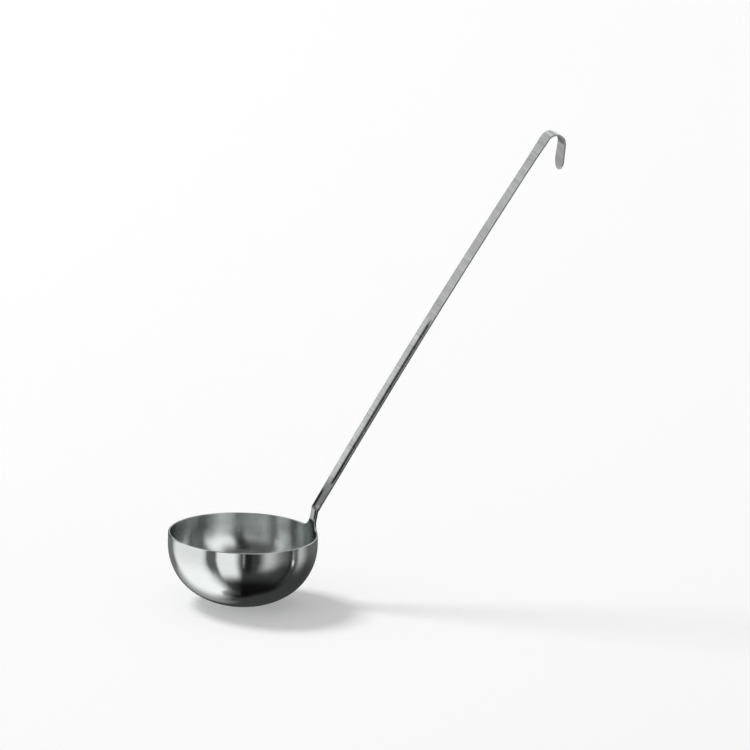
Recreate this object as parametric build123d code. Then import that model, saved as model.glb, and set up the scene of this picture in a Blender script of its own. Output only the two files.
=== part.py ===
from build123d import *
from math import cos, degrees, radians, sin, tan
import os

# Soup ladle of polished stainless sheet. Millimetres, +Z up along the bowl's axis, origin in the
# middle of the bowl's foot. The handle rises over +X and ends in a hook that bends away from it.

# Sheet that all of the ladle is made of
sheet = 1.2

# Bowl: a flat foot, a base arc, a shoulder arc and a straight skirt up to the rim. The shoulder
# starts where the wall has turned this many degrees under level
bowl_diameter = 100.0
bowl_depth = 48.0
skirt_height = 7.2
shoulder_start = 56.6
foot_diameter = 10.0
rim_round = 0.4

# Neck: the tab that is drawn up out of the bowl's wall
neck_width = 10.4
neck_height = 12.6
neck_lean = 10.0
neck_bend_radius = 30.0
neck_flare_radius = 7.0

# Weld between neck and handle, ground almost flush
weld_length = 1.6
weld_proud = 0.1

# Handle strip: leans away from the bowl, a little more towards the top
handle_length = 290.0
lean_low = 31.0
lean_high = 34.0
strip_width_low = 11.3
strip_width_middle = 12.1
strip_width_high = 11.0
flare_length = 20.0
edge_round = 0.3

# Pressed creases that stiffen the strip: a short ridge over the weld, then a long gutter that runs
# out into the flat
ridge_height = 0.45
ridge_length = 11.0
turnover_length = 9.0
gutter_depth = 0.5
gutter_end = 153.0
gutter_runout = 14.0
crease_half_width = 0.9

# Hook: a bend, for which the strip flares out, and a straight tongue with a round tip
hook_width = 12.4
hook_radius = 6.6
hook_turn = 152.0
tongue_length = 17.8
tongue_width = 13.6

# A rounded edge takes at most this much of the sheet's thickness
largest_round_share = 0.35

# How finely the strip is lofted
sections_per_blend = 5
longest_span = 30.0

# How far cutting shapes run past what they cut
overrun = 5.0

bowl_radius = bowl_diameter / 2
skirt_foot = bowl_depth - skirt_height
foot_radius = foot_diameter / 2

# The two arcs meet smoothly where both centres and the meeting point lie in one line
start_cos = cos(radians(shoulder_start))
start_sin = sin(radians(shoulder_start))
radius_drop = (bowl_radius - foot_radius - skirt_foot) / (start_sin + start_cos - 1)
base_radius = skirt_foot + radius_drop * start_sin
shoulder_radius = base_radius - radius_drop

neck_bend_rise = neck_bend_radius * sin(radians(neck_lean))
neck_bend_reach = neck_bend_radius * (1 - cos(radians(neck_lean)))


def lean_plane(x, z, lean):
    """Plane across the strip: its x runs along +Y, its y out of the face that looks at the bowl."""
    return Plane(
        origin=(x, 0, z),
        x_dir=(0, 1, 0),
        z_dir=(sin(radians(lean)), 0, cos(radians(lean))),
    )


def neck_top():
    """Middle of the sheet where the neck ends, on the plane of symmetry."""
    straight_rise = neck_height - neck_bend_rise
    reach = neck_bend_reach + straight_rise * tan(radians(neck_lean))
    return bowl_radius - sheet / 2 + reach, bowl_depth + neck_height


def wall_line(depth, top):
    """Wall profile at a depth under the outer face, from the axis past the rim up to the top."""
    rim_x = bowl_radius - depth
    bend_radius = neck_bend_radius + depth - sheet / 2
    foot = Line((0, depth), (foot_radius, depth))
    base_centre = (foot_radius, base_radius)
    base = CenterArc(base_centre, base_radius - depth, -90, 90 - shoulder_start)
    shoulder_centre = (bowl_radius - shoulder_radius, skirt_foot)
    shoulder = CenterArc(
        shoulder_centre, shoulder_radius - depth, -shoulder_start, shoulder_start
    )
    skirt = Line((rim_x, skirt_foot), (rim_x, bowl_depth))
    bend = CenterArc((rim_x + bend_radius, bowl_depth), bend_radius, 180, -neck_lean)
    bend_end = bend @ 1
    reach = (top - bend_end.Y) * tan(radians(neck_lean))
    straight = Line(bend_end, (bend_end.X + reach, top))
    return [foot, base, shoulder, skirt, bend, straight]


def neck_silhouette():
    """Neck and its flares, seen along X, standing on the rim plane."""
    half = neck_width / 2
    foot_half = half + neck_flare_radius
    flare_top = bowl_depth + neck_flare_radius
    top = bowl_depth + neck_height + overrun
    right = CenterArc((foot_half, flare_top), neck_flare_radius, -90, -90)
    left = CenterArc((-foot_half, flare_top), neck_flare_radius, 0, -90)
    return make_face(
        [
            right,
            Line((half, flare_top), (half, top)),
            Line((half, top), (-half, top)),
            Line((-half, top), (-half, flare_top)),
            left,
            Line((-foot_half, bowl_depth), (foot_half, bowl_depth)),
        ]
    )


def make_bowl():
    """Cup and neck, drawn from one sheet."""
    top = bowl_depth + neck_height + overrun
    outer = wall_line(0, top)
    inner = wall_line(sheet, top)
    closing = [Line(outer[-1] @ 1, inner[-1] @ 1), Line((0, 0), (0, sheet))]
    profile = make_face(outer + inner + closing)
    # The profile lies on the side away from the neck, and so does the seam of the turned faces
    turned = revolve(Plane((0, 0, 0), x_dir=(-1, 0, 0), z_dir=(0, 1, 0)) * profile, Axis.Z)
    reach = bowl_diameter
    on_rim = (Align.CENTER, Align.CENTER, Align.MIN)
    above = Box(2 * reach, 2 * reach, top + overrun - bowl_depth, align=on_rim)
    tower = extrude(Plane.YZ * neck_silhouette(), reach)
    shell = turned - (Pos(0, 0, bowl_depth) * above - tower)
    end = lean_plane(*neck_top(), neck_lean)
    shell = shell - extrude(end * Rectangle(reach, reach), reach)
    return fillet(rim_edges(shell, end), min(rim_round, sheet * largest_round_share))


def rim_edges(shell, end):
    """Edges of rim, flares and neck sides, inside and outside, without those at the neck's end."""
    close = sheet / 100
    square = cos(radians(1))

    def narrow(face):
        if face.geom_type == GeomType.PLANE:
            normal = face.normal_at()
            flat_rim = normal.Z > square and abs(face.center().Z - bowl_depth) < close
            return flat_rim or abs(normal.Y) > square
        turned = face.geom_type == GeomType.CYLINDER
        return turned and abs(face.radius - neck_flare_radius) < close

    edges = [edge for face in shell.faces() if narrow(face) for edge in face.edges()]

    def shared(edge):
        return sum((edge.center() - other.center()).length < close for other in edges) > 1

    return [
        edge
        for edge in edges
        if not shared(edge) and abs(end.to_local_coords(edge.center()).Z) > close
    ]


def strip_points(width, rise, thickness):
    """Corner points of the strip's section: crease at rise above the line between the edges."""
    half = width / 2
    slope = rise / half
    rounding = min(edge_round, thickness * largest_round_share)
    return {
        "half": half,
        "back": thickness / 2,
        "side": thickness / 2 - rounding,
        "round_x": half - rounding,
        "round_lift": slope * rounding,
        "crease_lift": slope * (half - crease_half_width),
    }


def strip_section(place, width, rise, thickness=sheet):
    """Section on a plane across the strip, with rounded edges and a soft crease in the middle."""
    p = strip_points(width, rise, thickness)
    side, back = p["side"], p["back"]

    def face_line(sign):
        """The face on the side of sign, from one rounded edge over the crease to the other."""
        level = sign * back
        edge = (sign * p["round_x"], level + p["round_lift"])
        crease = (sign * crease_half_width, level + p["crease_lift"])
        far_edge, far_crease = [(-x, y) for x, y in (edge, crease)]
        return [
            Line(far_edge, far_crease),
            Bezier(far_crease, (0, level + rise), crease),
            Line(crease, edge),
        ]

    def edge_line(sign):
        """The edge on the side of sign, from the face on that side round to the other face."""
        x, face_x = sign * p["half"], sign * p["round_x"]
        near, far = sign * back, -sign * back
        return [
            Bezier((face_x, near + p["round_lift"]), (x, near), (x, sign * side)),
            Line((x, sign * side), (x, -sign * side)),
            Bezier((x, -sign * side), (x, far), (face_x, far + p["round_lift"])),
        ]

    return place * make_face(face_line(1) + edge_line(1) + face_line(-1) + edge_line(-1))


def ease(share):
    """Smooth step from 0 to 1."""
    share = min(max(share, 0), 1)
    return share * share * (3 - 2 * share)


def crease_rise(along):
    """Height of the crease over the strip's edges, at a distance along it; a gutter is negative."""
    turned_over = ease((along - ridge_length) / turnover_length)
    run_out = ease((along - gutter_end + gutter_runout) / gutter_runout)
    return ridge_height * (1 - turned_over) - gutter_depth * turned_over * (1 - run_out)


def strip_width(along):
    """Width of the strip at a distance along the handle."""
    half_way = handle_length / 2
    flare_start = handle_length - flare_length
    if along < half_way:
        low, high = strip_width_low, strip_width_middle
        share = along / (ridge_length + 2 * turnover_length)
    elif along < flare_start:
        low, high = strip_width_middle, strip_width_high
        share = (along - half_way) / (flare_start - half_way)
    else:
        low, high = strip_width_high, hook_width
        share = (along - flare_start) / flare_length
    return low + (high - low) * ease(share)


def weld_end():
    """Middle of the sheet where the handle starts."""
    x, z = neck_top()
    turn = radians(lean_low - neck_lean)
    middle = radians((lean_low + neck_lean) / 2)
    chord = 2 * weld_length / turn * sin(turn / 2)
    return x + chord * sin(middle), z + chord * cos(middle)


def handle_plane(along):
    """Plane across the handle at a distance along it, on one long arc."""
    x, z = weld_end()
    bow_radius = handle_length / radians(lean_high - lean_low)
    start = radians(lean_low)
    lean = start + along / bow_radius
    return lean_plane(
        x + bow_radius * (cos(start) - cos(lean)),
        z + bow_radius * (sin(lean) - sin(start)),
        degrees(lean),
    )


def stations():
    """Distances along the handle of the lofted sections, closer where the crease changes."""
    bounds = [
        0,
        ridge_length,
        ridge_length + turnover_length,
        gutter_end - gutter_runout,
        gutter_end,
        handle_length - flare_length,
        handle_length,
    ]
    found = [0]
    for start, stop in zip(bounds, bounds[1:]):
        blend = stop - start
        steps = max(sections_per_blend, round(blend / longest_span))
        found += [start + blend * step / steps for step in range(1, steps + 1)]
    return found


def hook_plane(turn):
    """Plane across the strip in the hook, so many degrees from where the hook starts."""
    start = handle_plane(handle_length)
    centre = start.origin - start.y_dir * hook_radius
    across = lean_plane(centre.X, centre.Z, lean_high + turn)
    across.origin += across.y_dir * hook_radius
    return across


def make_weld():
    """Weld bead, ground to the strip's form and left slightly proud."""
    thickness = sheet + 2 * weld_proud
    wall_dip = (neck_width / 2) ** 2 / bowl_diameter
    neck_end = lean_plane(*neck_top(), neck_lean)
    neck_end.origin += neck_end.y_dir * wall_dip
    strip_end = lean_plane(*weld_end(), lean_low)
    neck_side = strip_section(neck_end, neck_width + 2 * weld_proud, -wall_dip, thickness)
    strip_side_width = strip_width_low + 2 * weld_proud
    strip_side = strip_section(strip_end, strip_side_width, ridge_height, thickness)
    return loft([neck_side, strip_side], ruled=True)


def make_handle():
    """Strip with its creases, the hook, and the tongue with its round tip."""
    strip_sections = [
        strip_section(handle_plane(along), strip_width(along), crease_rise(along))
        for along in stations()
    ]
    hook_start = handle_plane(handle_length)
    hook_axis = Axis(hook_start.origin - hook_start.y_dir * hook_radius, (0, 1, 0))
    hook = revolve(strip_section(hook_start, hook_width, 0), hook_axis, hook_turn)
    hook_end = hook_plane(hook_turn)
    tip_plane = hook_plane(hook_turn)
    tip_plane.origin += tip_plane.z_dir * (tongue_length - tongue_width / 2)
    tongue_start = strip_section(hook_end, hook_width, 0)
    tongue = loft([tongue_start, strip_section(tip_plane, tongue_width, 0)], ruled=True)
    return loft(strip_sections) + hook + tongue + make_tip(tip_plane)


def make_tip(place):
    """Round end of the tongue: half of the strip's section, turned about the face's normal."""
    p = strip_points(tongue_width, 0, sheet)
    half, back, side, round_x = p["half"], p["back"], p["side"], p["round_x"]
    section = make_face(
        [
            Line((0, -back), (0, back)),
            Line((0, back), (round_x, back)),
            Bezier((round_x, back), (half, back), (half, side)),
            Line((half, side), (half, -side)),
            Bezier((half, -side), (half, -back), (round_x, -back)),
            Line((round_x, -back), (0, -back)),
        ]
    )
    return revolve(place * section, Axis(place.origin, place.y_dir), -180)


parts = {"bowl": make_bowl(), "weld_seam": make_weld(), "handle": make_handle()}
os.makedirs("parts", exist_ok=True)
for name, part in parts.items():
    part.label = name
    export_step(part, os.path.join("parts", name + ".step"))
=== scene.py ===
import bpy
from math import cos, radians, sin
from mathutils import Matrix, Vector

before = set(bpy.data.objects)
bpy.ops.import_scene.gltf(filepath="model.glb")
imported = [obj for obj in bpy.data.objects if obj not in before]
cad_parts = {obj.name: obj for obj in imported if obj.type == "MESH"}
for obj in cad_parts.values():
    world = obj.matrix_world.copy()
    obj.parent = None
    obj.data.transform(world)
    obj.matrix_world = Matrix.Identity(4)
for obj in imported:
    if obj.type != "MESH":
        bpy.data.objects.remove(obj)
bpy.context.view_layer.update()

bpy.ops.object.select_all(action='DESELECT')
print("stage: frame loaded,", len(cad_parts), "nodes")

view = {
    "azimuth": -21.5,
    "elevation": 15.4,
    "roll": 1.81,           # degrees clockwise
    "distance": 10.0,
    "width": 0.49987,       # what the picture's width takes in, at the target
    "target": (0.0892, -0.0043, 0.1521),
    "sensor": 36,
    "farthest": 60,
}


def addCamera(v):
    az, el, roll = radians(v["azimuth"]), radians(v["elevation"]), radians(v["roll"])
    back = Vector((sin(az) * cos(el), -cos(az) * cos(el), sin(el)))
    right = Vector((cos(az), sin(az), 0))
    up = back.cross(right)
    x = right * cos(roll) + up * sin(roll)
    y = up * cos(roll) - right * sin(roll)
    place = Vector(v["target"]) + back * v["distance"]
    bpy.ops.object.camera_add()
    camera = bpy.context.object
    camera.matrix_world = Matrix((
        (x.x, y.x, back.x, place.x),
        (x.y, y.y, back.y, place.y),
        (x.z, y.z, back.z, place.z),
        (0, 0, 0, 1),
    ))
    camera.data.sensor_width = v["sensor"]
    camera.data.lens = v["sensor"] * v["distance"] / v["width"]
    camera.data.clip_end = v["farthest"]
    camera.name = "camera"
    bpy.context.scene.camera = camera


addCamera(view)
print("stage: camera set")


# Small helpers for node trees
def node(tree, kind, **values):
    made = tree.nodes.new(kind)
    for name, value in values.items():
        setattr(made, name, value)
    return made


def calc(tree, operation, *inputs):
    made = node(tree, "ShaderNodeMath", operation=operation)
    for socket, value in zip(made.inputs, inputs):
        if isinstance(value, bpy.types.NodeSocket):
            tree.links.new(value, socket)
        else:
            socket.default_value = value
    return made.outputs[0]


def softStep(tree, value, start, stop):
    made = node(tree, "ShaderNodeMapRange", interpolation_type='SMOOTHSTEP')
    tree.links.new(value, made.inputs["Value"])
    made.inputs["From Min"].default_value = start
    made.inputs["From Max"].default_value = stop
    return made.outputs["Result"]


def mixValue(tree, factor, a, b):
    made = node(tree, "ShaderNodeMix", data_type='FLOAT')
    for socket, value in zip(made.inputs, (factor, None, a, b)):
        if isinstance(value, bpy.types.NodeSocket):
            tree.links.new(value, socket)
        elif value is not None:
            socket.default_value = value
    return made.outputs["Result"]


def splitUp(tree, vector):
    made = node(tree, "ShaderNodeSeparateXYZ")
    tree.links.new(vector, made.inputs[0])
    return made.outputs


# Studio round the ladle. Angles in degrees: azimuth 0 is behind it, over +Y, and 90 is over +X.
# A later panel stands before the ones above it. Edges are how soft it is at its left, right,
# lower and upper side. Lean is degrees of azimuth for each degree of elevation
studio = {
    "open": {"low": 0.05, "high": 0.16, "horizon": (-6, 4)},     # between the panels
    "soft": 0.45,           # level that lights what isn't shiny
    "panels": {
        # below the rim: what the outside of the bowl shows
        "rightBand": {"azimuth": (15, 140), "elevation": (-15, -1),
                      "edges": (22, 9, 30, 6), "lean": -0.16, "level": 0.26},
        "underTent": {"azimuth": (-114, -4), "elevation": (-71, -30),
                      "edges": (26, 30, 30, 25), "lean": 0.18, "level": 0.80},
        "leftReturn": {"azimuth": (-13, 11), "elevation": (-58, -30),
                       "edges": (30, 14, 28, 12), "lean": -0.32, "level": 0.36},
        "leftLow": {"azimuth": (-98, -29), "elevation": (-73, -1),
                    "edges": (22, 23, 4, 6), "lean": 0.06, "level": 1.15},
        "leftUpper": {"azimuth": (-98, -29), "elevation": (-26, -1),
                      "edges": (22, 23, 30, 6), "lean": 0.06, "level": 0.90},
        "leftWindow": {"azimuth": (-153, -119), "elevation": (-47, -1),
                       "edges": (14, 8, 24, 6), "lean": 0.13, "level": 1.0},
        "leftBar": {"azimuth": (-118, -102), "elevation": (-36, -1),
                    "edges": (3.5, 4, 30, 6), "lean": 0.18, "level": 0.12},
        "frontBar": {"azimuth": (-174, -164), "elevation": (-35, -1),
                     "edges": (6, 4, 14, 6), "lean": 0, "level": 0.015},
        "frontSliver": {"azimuth": (-162.5, -160), "elevation": (-20, -8),
                        "edges": (3, 3, 8, 6), "lean": 0, "level": 0.38},
        "frontGlow": {"azimuth": (145, 169), "elevation": (-27, -8),
                      "edges": (30, 18, 25, 6), "lean": -0.35, "level": 0.63},
        "rightWindow": {"azimuth": (90, 105), "elevation": (-25, -1),
                        "edges": (26, 8, 28, 6), "lean": 0.1, "level": 0.62},
        "rightSpark": {"azimuth": (112.5, 116), "elevation": (-24, -18),
                       "edges": (3, 3, 6, 4), "lean": 0.17, "level": 1.2},
        "rightBar": {"azimuth": (116, 122), "elevation": (-60, -6),
                     "edges": (4, 18, 10, 8), "lean": 0.07, "level": 0.013},
        "below": {"azimuth": (93, 214), "elevation": (-94, -51),
                  "edges": (28, 40, 8, 26), "lean": 0.25, "level": 0.006},
        "straightDown": {"azimuth": (-40, 200), "elevation": (-96, -80),
                         "edges": (30, 30, 4, 9), "lean": 0, "level": 0.003},
        # above the rim: what the inside shows
        "rightWall": {"azimuth": (30, 119), "elevation": (5, 66),
                      "edges": (30, 14, 7, 23), "lean": 0.6, "level": 0.46},
        "rightStripe": {"azimuth": (81, 95), "elevation": (4, 54),
                        "edges": (6, 5, 6, 14), "lean": 0.17, "level": 0.80},
        "leftTent": {"azimuth": (-104, -15), "elevation": (-2, 57),
                     "edges": (4, 13, 6, 21), "lean": 0.15, "level": 1.28},
        "leftFade": {"azimuth": (-88, -73), "elevation": (-1, 57),
                     "edges": (21, 20, 6, 27), "lean": -0.08, "level": 0.18},
        "windowTop": {"azimuth": (-160, -113), "elevation": (4, 25),
                      "edges": (8, 7, 7, 8), "lean": 0.18, "level": 0.58},
        "windowDark": {"azimuth": (-164, -94), "elevation": (18, 40),
                       "edges": (4, 16, 14, 18), "lean": -0.24, "level": 0.075},
        "frontDark": {"azimuth": (-184, -152), "elevation": (0, 43),
                      "edges": (8, 5, 5, 10), "lean": 0.52, "level": 0.002},
        "frontTent": {"azimuth": (139, 188), "elevation": (9, 40),
                      "edges": (11, 12, 3, 30), "lean": 0.37, "level": 1.42},
        "frontLintel": {"azimuth": (164, 200), "elevation": (30, 60),
                        "edges": (14, 8, 6, 10), "lean": 0, "level": 0.04},
        "frontSill": {"azimuth": (176, 196), "elevation": (0, 12),
                      "edges": (8, 8, 6, 5), "lean": 0.8, "level": 0.034},
        "rightDark": {"azimuth": (106, 137), "elevation": (-1, 16),
                      "edges": (14, 8, 5, 15), "lean": -0.32, "level": 0.001},
        "backDark": {"azimuth": (-3, 16), "elevation": (24, 80),
                     "edges": (5, 10, 12, 8), "lean": -0.15, "level": 0.11},
        "overheadFront": {"azimuth": (115, 245), "elevation": (58, 100),
                          "edges": (20, 20, 14, 4), "lean": 0, "level": 1.1},
        "overhead": {"azimuth": (-190, 190), "elevation": (80, 100),
                     "edges": (4, 4, 8, 4), "lean": 0, "level": 1.0},
        # level with the handle: what the strip, the neck and the hook show
        "stripGrey": {"azimuth": (-37, -17), "elevation": (-14, 21),
                      "edges": (5, 6, 6, 8), "lean": 0.05, "level": 0.59},
        "tongueGrey": {"azimuth": (-33, -17), "elevation": (-14, -1),
                       "edges": (4, 6, 6, 6), "lean": 0.05, "level": 0.53},
        "crestGrey": {"azimuth": (-20, 24), "elevation": (14, 28),
                      "edges": (3, 4, 6, 5), "lean": 0.2, "level": 0.5},
        "crestSpot": {"azimuth": (-1, 7), "elevation": (23, 30),
                      "edges": (3, 5, 4, 6), "lean": 0, "level": 0.9},
        "crestEnd": {"azimuth": (22, 36), "elevation": (-5, 12),
                     "edges": (3, 6, 4, 4), "lean": 0, "level": 1.0},
        "backGrey": {"azimuth": (-24, 14), "elevation": (-28, -13),
                     "edges": (4, 6, 4, 3), "lean": 0, "level": 0.19},
        "backEdge": {"azimuth": (12, 32), "elevation": (-24, -8),
                     "edges": (6, 6, 5, 4), "lean": 0, "level": 0.02},
        "backBar": {"azimuth": (-20.8, 16), "elevation": (-12, 10),
                    "edges": (2.5, 6, 3, 4), "lean": 0.22, "level": 0.006},
    },
}


def buildWorld(s):
    world = bpy.data.worlds.new("studio")
    bpy.context.scene.world = world
    world.use_nodes = True
    tree = world.node_tree
    tree.nodes.clear()
    coordinates = node(tree, "ShaderNodeTexCoord")
    x, y, z = splitUp(tree, coordinates.outputs["Generated"])
    azimuth = calc(tree, 'DEGREES', calc(tree, 'ARCTAN2', x, y))
    elevation = calc(tree, 'DEGREES', calc(tree, 'ARCSINE', z))
    bare = s["open"]
    level = mixValue(tree, softStep(tree, elevation, *bare["horizon"]), bare["low"], bare["high"])
    for panel in s["panels"].values():
        middle = sum(panel["azimuth"]) / 2
        half = (panel["azimuth"][1] - panel["azimuth"][0]) / 2
        low, high = panel["elevation"]
        left, right, lower, upper = [edge / 2 for edge in panel["edges"]]
        turn = calc(tree, 'SUBTRACT', azimuth, middle)
        if panel["lean"]:
            rise = calc(tree, 'SUBTRACT', elevation, (low + high) / 2)
            turn = calc(tree, 'SUBTRACT', turn, calc(tree, 'MULTIPLY', rise, panel["lean"]))
        turn = calc(tree, 'WRAP', turn, 180, -180)
        across = calc(tree, 'MULTIPLY', softStep(tree, turn, -half - left, -half + left),
                      softStep(tree, turn, half + right, half - right))
        along = calc(tree, 'MULTIPLY', softStep(tree, elevation, low - lower, low + lower),
                     softStep(tree, elevation, high + upper, high - upper))
        level = mixValue(tree, calc(tree, 'MULTIPLY', across, along), level, panel["level"])
    path = node(tree, "ShaderNodeLightPath")
    seen = calc(tree, 'MAXIMUM', path.outputs["Is Camera Ray"], path.outputs["Is Transmission Ray"])
    # steel shows the panels, and what isn't shiny gets an even light
    light = mixValue(tree, path.outputs["Is Glossy Ray"], s["soft"], level)
    background = node(tree, "ShaderNodeBackground")
    tree.links.new(mixValue(tree, seen, light, 1.0), background.inputs["Color"])
    output = node(tree, "ShaderNodeOutputWorld")
    tree.links.new(background.outputs[0], output.inputs["Surface"])


buildWorld(studio)
print("stage: studio lit")

floor = {
    "radius": 6.0,
    "sides": 96,
    "colour": (0.86, 0.86, 0.86, 1),
    "lift": 0.21,           # how pale the floor is by itself, where the camera sees it
}


def addFloor(f):
    bpy.ops.mesh.primitive_circle_add(vertices=f["sides"], radius=f["radius"], fill_type='NGON')
    made = bpy.context.object
    made.name = "floor"
    material = bpy.data.materials.new("paleFloor")
    material.use_nodes = True
    tree = material.node_tree
    tree.nodes.clear()
    diffuse = node(tree, "ShaderNodeBsdfDiffuse")
    diffuse.inputs["Color"].default_value = f["colour"]
    glow = node(tree, "ShaderNodeEmission")
    path = node(tree, "ShaderNodeLightPath")
    seen = calc(tree, 'MAXIMUM', path.outputs["Is Camera Ray"], path.outputs["Is Transmission Ray"])
    tree.links.new(calc(tree, 'MULTIPLY', seen, f["lift"]), glow.inputs["Strength"])
    both = node(tree, "ShaderNodeAddShader")
    tree.links.new(diffuse.outputs[0], both.inputs[0])
    tree.links.new(glow.outputs[0], both.inputs[1])
    output = node(tree, "ShaderNodeOutputMaterial")
    tree.links.new(both.outputs[0], output.inputs["Surface"])
    made.data.materials.append(material)
    made.visible_glossy = False


addFloor(floor)

lamps = {
    "keyLamp": {
        "energy": 400.0,
        "size": 2.7,
        "place": (-3.17, 4.02, 7.0),
        "aim": (0.05, 0, 0.1),
        "spread": 180,
        "inSteel": False,   # whether the steel shows the lamp
    },
    "underLamp": {          # lights the back of the handle from the floor
        "energy": 0.2,
        "size": 0.6,
        "place": (0.37, 0, 0.004),
        "aim": (0.37, 0, 1),
        "spread": 100,
        "inSteel": True,
    },
}


def addLamp(name, lamp):
    bpy.ops.object.light_add(type='AREA', location=lamp["place"])
    made = bpy.context.object
    made.name = name
    made.data.energy = lamp["energy"]
    made.data.size = lamp["size"]
    made.data.spread = radians(lamp["spread"])
    aim = Vector(lamp["aim"]) - Vector(lamp["place"])
    made.rotation_euler = aim.to_track_quat('-Z', 'Y').to_euler()
    made.visible_camera = False
    made.visible_glossy = lamp["inSteel"]


for name, values in lamps.items():
    addLamp(name, values)
print("stage: floor and lamps placed")


def noise(tree, vector, scale, detail, rough):
    made = node(tree, "ShaderNodeTexNoise")
    tree.links.new(vector, made.inputs["Vector"])
    made.inputs["Scale"].default_value = scale
    made.inputs["Detail"].default_value = detail
    made.inputs["Roughness"].default_value = rough
    return made.outputs[0]


def spread(tree, value, low, high):
    # noise lies mostly from 0.3 to 0.7, and becomes a number from low to high
    made = node(tree, "ShaderNodeMapRange")
    tree.links.new(value, made.inputs["Value"])
    made.inputs["From Min"].default_value = 0.3
    made.inputs["From Max"].default_value = 0.7
    made.inputs["To Min"].default_value = low
    made.inputs["To Max"].default_value = high
    return made.outputs["Result"]


def addShares(tree, a, shareOfA, b, shareOfB):
    return calc(tree, 'ADD', calc(tree, 'MULTIPLY', a, shareOfA),
                calc(tree, 'MULTIPLY', b, shareOfB))


def combine(tree, *parts):
    made = node(tree, "ShaderNodeCombineXYZ")
    for socket, value in zip(made.inputs, parts):
        if isinstance(value, bpy.types.NodeSocket):
            tree.links.new(value, socket)
        else:
            socket.default_value = value
    return made.outputs[0]


def mixColour(tree, factor, a, b):
    made = node(tree, "ShaderNodeMix", data_type='RGBA')
    tree.links.new(factor, made.inputs[0])
    for socket, value in ((made.inputs[6], a), (made.inputs[7], b)):
        if isinstance(value, bpy.types.NodeSocket):
            tree.links.new(value, socket)
        else:
            socket.default_value = (*value, 1)
    return made.outputs[2]


def stretched(tree, vector, scale, turn=(0, 0, 0)):
    made = node(tree, "ShaderNodeMapping")
    tree.links.new(vector, made.inputs["Vector"])
    made.inputs["Rotation"].default_value = [radians(angle) for angle in turn]
    made.inputs["Scale"].default_value = scale
    return made.outputs[0]


def bump(tree, height):
    made = node(tree, "ShaderNodeBump")
    tree.links.new(height, made.inputs["Height"])
    made.inputs["Distance"].default_value = 0.000001     # a height of 1 is a thousandth of a mm
    made.inputs["Strength"].default_value = 1.0
    return made.outputs[0]


# In every finish below, noise is its scale, detail and roughness, rough is what it makes of the
# steel's roughness, and height is in thousandths of a millimetre

scuffs = {
    "noise": (1300, 1.0, 0.5),
    "squeeze": (1, 0.03, 0.03),          # makes them long and thin
    "cut": (0.73, 0.78),                 # where noise becomes a scuff
    "depth": 0.8,
    "bowlWays": ((10, 35, 60), (70, -20, 15), (30, 80, -40)),
    "handleWays": ((20, 40, 80), (60, 10, -30)),
}


def scuffMarks(tree, place, ways):
    total = None
    for way in ways:
        grain = noise(tree, stretched(tree, place, scuffs["squeeze"], way), *scuffs["noise"])
        mark = softStep(tree, grain, *scuffs["cut"])
        total = mark if total is None else calc(tree, 'MAXIMUM', total, mark)
    return total


def steelStart(name):
    material = bpy.data.materials.new(name)
    material.use_nodes = True
    tree = material.node_tree
    shader = tree.nodes["Principled BSDF"]
    shader.inputs["Metallic"].default_value = 1.0
    return material, tree, shader, node(tree, "ShaderNodeTexCoord")


def stretchShine(shader, stretch):
    shader.inputs["Anisotropic"].default_value = stretch
    shader.inputs["Anisotropic Rotation"].default_value = 0.25       # across the lines


# The bowl: polished round and round, bright outside and satin inside
bowlFinish = {
    "bright": (0.79, 0.82, 0.81),
    "dull": (0.72, 0.755, 0.745),
    "insideBright": (0.69, 0.72, 0.705),
    "insideDull": (0.63, 0.665, 0.65),
    "insideTop": (0.049, 0.0478),        # heights between which the inside's finish ends
    "byNeckShade": (0.50, 0.525, 0.51),       # inside by the neck, coloured darker: painted shade
    "byNeckShadeStart": (0.034, 0.046),
    "neck": (0.66, 0.69, 0.68),
    "neckFoot": (0.0485, 0.051),         # heights between which the neck's finish starts
    "shearedWithShade": (0.05, 0.052, 0.05),      # the neck's cut edges, which are rough, coloured near black: painted shade
    "shearedSide": (0.3, 0.5),           # how far a cut edge faces sideways
    "roughOutside": 0.12,
    "roughInside": 0.21,
    "roughNeck": 0.08,
    "roughScuff": 0.05,                  # what a scuff adds
    "stretch": 0.8,                      # how far the shine stretches across the lines
    "centre": 0.0499,                    # height that the rings are drawn round from
    "axis": 0.0005,                      # the rings end this near to the bowl's axis
    "rings": 50,                         # rings are this much finer than they are long
    "fine": {"noise": (2.8, 3.0, 0.7), "rough": (0.88, 1.12), "height": 1.6},
    "broad": {"noise": (0.8, 2.0, 0.6), "height": 2.5},
    "cloud": {"noise": (60, 3.0, 0.6), "rough": (0.9, 1.12)},
}


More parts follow.
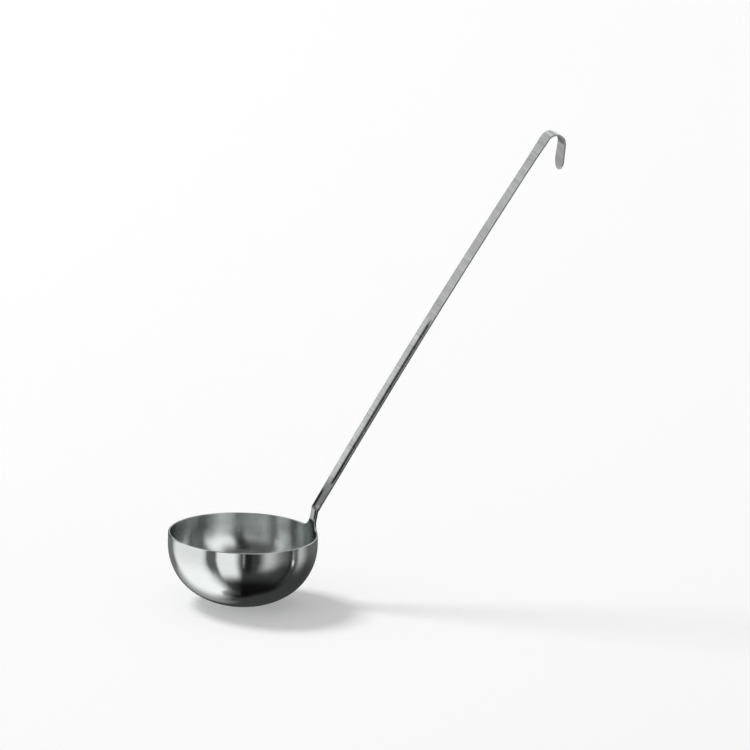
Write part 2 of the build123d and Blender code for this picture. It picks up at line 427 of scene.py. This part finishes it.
def bowlSteel(b):
    material, tree, shader, coordinates = steelStart("bowlSteel")
    place = coordinates.outputs["Object"]
    facing = coordinates.outputs["Normal"]
    x, y, z = splitUp(tree, place)
    sideways = splitUp(tree, facing)[1]

    # polishing lines run round the axis
    reach = calc(tree, 'SQRT', calc(tree, 'ADD', calc(tree, 'MULTIPLY', x, x),
                                    calc(tree, 'MULTIPLY', y, y)))
    reach = calc(tree, 'MAXIMUM', reach, b["axis"])
    ring = calc(tree, 'ARCTAN2', reach, calc(tree, 'SUBTRACT', b["centre"], z))
    rings = combine(tree, calc(tree, 'MULTIPLY', ring, b["rings"]),
                    calc(tree, 'DIVIDE', x, reach), calc(tree, 'DIVIDE', y, reach))
    fineLines = noise(tree, rings, *b["fine"]["noise"])
    broadLines = noise(tree, rings, *b["broad"]["noise"])
    cloud = noise(tree, place, *b["cloud"]["noise"])
    marks = scuffMarks(tree, place, scuffs["bowlWays"])

    # inside is where the surface faces the middle of the bowl, below the rim
    outward = node(tree, "ShaderNodeVectorMath", operation='SUBTRACT')
    tree.links.new(place, outward.inputs[0])
    outward.inputs[1].default_value = (0, 0, b["centre"])
    away = node(tree, "ShaderNodeVectorMath", operation='DOT_PRODUCT')
    tree.links.new(outward.outputs[0], away.inputs[0])
    tree.links.new(facing, away.inputs[1])
    inside = calc(tree, 'MULTIPLY', softStep(tree, away.outputs["Value"], 0.01, -0.01),
                  softStep(tree, z, *b["insideTop"]))
    neck = softStep(tree, z, *b["neckFoot"])
    cut = calc(tree, 'MULTIPLY',
               softStep(tree, calc(tree, 'ABSOLUTE', sideways), *b["shearedSide"]), neck)

    rough = mixValue(tree, neck, b["roughOutside"], b["roughNeck"])
    rough = mixValue(tree, inside, rough, b["roughInside"])
    rough = calc(tree, 'MULTIPLY', rough, spread(tree, fineLines, *b["fine"]["rough"]))
    rough = calc(tree, 'MULTIPLY', rough, spread(tree, cloud, *b["cloud"]["rough"]))
    rough = calc(tree, 'ADD', rough, calc(tree, 'MULTIPLY', marks, b["roughScuff"]))
    tree.links.new(rough, shader.inputs["Roughness"])

    tone = addShares(tree, spread(tree, fineLines, 0, 1), 0.5, spread(tree, cloud, 0, 1), 0.5)
    inner = mixColour(tree, tone, b["insideDull"], b["insideBright"])
    # the inside is coloured darker by the neck: painted shade
    inner = mixColour(tree, softStep(tree, x, *b["byNeckShadeStart"]), inner, b["byNeckShade"])
    colour = mixColour(tree, inside, mixColour(tree, tone, b["dull"], b["bright"]), inner)
    colour = mixColour(tree, neck, colour, b["neck"])
    # cut edges of the neck coloured near black: painted shade
    colour = mixColour(tree, cut, colour, b["shearedWithShade"])
    tree.links.new(colour, shader.inputs["Base Color"])

    height = addShares(tree, broadLines, b["broad"]["height"], fineLines, b["fine"]["height"])
    height = calc(tree, 'SUBTRACT', height, calc(tree, 'MULTIPLY', marks, scuffs["depth"]))
    tree.links.new(bump(tree, height), shader.inputs["Normal"])
    tangent = node(tree, "ShaderNodeTangent", direction_type='RADIAL', axis='Z')
    tree.links.new(tangent.outputs[0], shader.inputs["Tangent"])
    stretchShine(shader, b["stretch"])
    return material


# The handle: brushed across the strip on a belt
handleFinish = {
    "bright": (0.91, 0.93, 0.925),
    "dull": (0.50, 0.535, 0.525),
    "weldEndShade": (0.25, 0.262, 0.25),     # the end by the weld, coloured darker: painted shade
    "weldEndShadeTop": (0.090, 0.070),       # heights between which it fades out
    "weldEndShadeWaver": 0.001,
    "shearedWithShade": (0.22, 0.23, 0.225),      # the cut edges low down, coloured dark: painted shade
    "shearedTopLit": (0.58, 0.60, 0.59),    # and near the hook, coloured lighter: painted highlight
    "shearedRise": (0.12, 0.26),         # heights between which one becomes the other
    "shearedSide": (0.45, 0.75),         # how far a cut edge faces sideways
    "rough": 0.17,
    "roughSheared": 0.12,                # what a cut edge adds
    "roughScuff": 0.04,                  # what a scuff adds
    "stretch": 0.85,                     # how far the shine stretches along the strip
    "brush": (1, 0.04, 1),               # the belt's lines are long across the strip
    "fine": {"noise": (2200, 2.0, 0.6), "height": 1.5},
    "broad": {"noise": (850, 2.0, 0.6), "rough": (0.85, 1.15), "height": 5},
    "streaks": {"noise": (160, 2.0, 0.5)},
    "cloud": {"noise": (90, 3.0, 0.6), "rough": (0.92, 1.1)},
}


def handleSteel(h):
    material, tree, shader, coordinates = steelStart("handleSteel")
    place = coordinates.outputs["Object"]
    sideways = splitUp(tree, coordinates.outputs["Normal"])[1]
    z = splitUp(tree, place)[2]
    brush = stretched(tree, place, h["brush"])
    fineLines = noise(tree, brush, *h["fine"]["noise"])
    broadLines = noise(tree, brush, *h["broad"]["noise"])
    streaks = noise(tree, brush, *h["streaks"]["noise"])
    cloud = noise(tree, place, *h["cloud"]["noise"])
    marks = scuffMarks(tree, place, scuffs["handleWays"])
    cut = softStep(tree, calc(tree, 'ABSOLUTE', sideways), *h["shearedSide"])

    rough = calc(tree, 'MULTIPLY', spread(tree, broadLines, *h["broad"]["rough"]),
                 spread(tree, cloud, *h["cloud"]["rough"]))
    rough = addShares(tree, rough, h["rough"], marks, h["roughScuff"])
    rough = calc(tree, 'ADD', rough, calc(tree, 'MULTIPLY', cut, h["roughSheared"]))
    tree.links.new(rough, shader.inputs["Roughness"])

    tone = addShares(tree, spread(tree, broadLines, 0, 1), 0.5, spread(tree, streaks, 0, 1), 0.5)
    waver = calc(tree, 'MULTIPLY', spread(tree, cloud, -1, 1), h["weldEndShadeWaver"])
    # handle coloured darker toward the weld end: painted shade
    weldEndShade = softStep(tree, calc(tree, 'ADD', z, waver), *h["weldEndShadeTop"])
    colour = mixColour(tree, tone, h["dull"], h["bright"])
    colour = mixColour(tree, weldEndShade, colour, h["weldEndShade"])
    # cut edges coloured dark low down and light near the hook: painted shade and painted highlight
    shearedWithShade = mixColour(tree, softStep(tree, z, *h["shearedRise"]), h["shearedWithShade"], h["shearedTopLit"])
    tree.links.new(mixColour(tree, cut, colour, shearedWithShade), shader.inputs["Base Color"])

    height = addShares(tree, broadLines, h["broad"]["height"], fineLines, h["fine"]["height"])
    height = calc(tree, 'SUBTRACT', height, calc(tree, 'MULTIPLY', marks, scuffs["depth"]))
    tree.links.new(bump(tree, height), shader.inputs["Normal"])
    tree.links.new(combine(tree, 0, 1, 0), shader.inputs["Tangent"])
    stretchShine(shader, h["stretch"])
    return material


# The weld seam: dressed flat with a small wheel, duller than the sheet
weldFinish = {
    "bright": (0.33, 0.34, 0.32),
    "dull": (0.16, 0.165, 0.155),
    "rough": 0.28,
    "wheel": (1, 0.08, 1),               # the wheel's lines are long one way
    "wheelTurn": (25, 0, 15),
    "lines": {"noise": (1800, 3.0, 0.6), "rough": (0.8, 1.2), "tone": (0.4, 1), "height": 6},
    "grains": {"noise": (500, 3.0, 0.6), "rough": (0.9, 1.15), "tone": (0, 1), "height": 18},
}


def weldSteel(w):
    material, tree, shader, coordinates = steelStart("weldSteel")
    place = coordinates.outputs["Object"]
    wheel = stretched(tree, place, w["wheel"], w["wheelTurn"])
    lines = noise(tree, wheel, *w["lines"]["noise"])
    grains = noise(tree, place, *w["grains"]["noise"])
    rough = calc(tree, 'MULTIPLY', spread(tree, lines, *w["lines"]["rough"]),
                 spread(tree, grains, *w["grains"]["rough"]))
    tree.links.new(calc(tree, 'MULTIPLY', rough, w["rough"]), shader.inputs["Roughness"])
    tone = calc(tree, 'MULTIPLY', spread(tree, grains, *w["grains"]["tone"]),
                spread(tree, lines, *w["lines"]["tone"]))
    tree.links.new(mixColour(tree, tone, w["dull"], w["bright"]), shader.inputs["Base Color"])
    height = addShares(tree, grains, w["grains"]["height"], lines, w["lines"]["height"])
    tree.links.new(bump(tree, height), shader.inputs["Normal"])
    return material


for name, finish in (
    ("bowl", bowlSteel(bowlFinish)),
    ("weld_seam", weldSteel(weldFinish)),
    ("handle", handleSteel(handleFinish)),
):
    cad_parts[name].material_slots[0].material = finish
print("stage: finishes set")

bpy.context.scene.view_settings.view_transform = 'Standard'
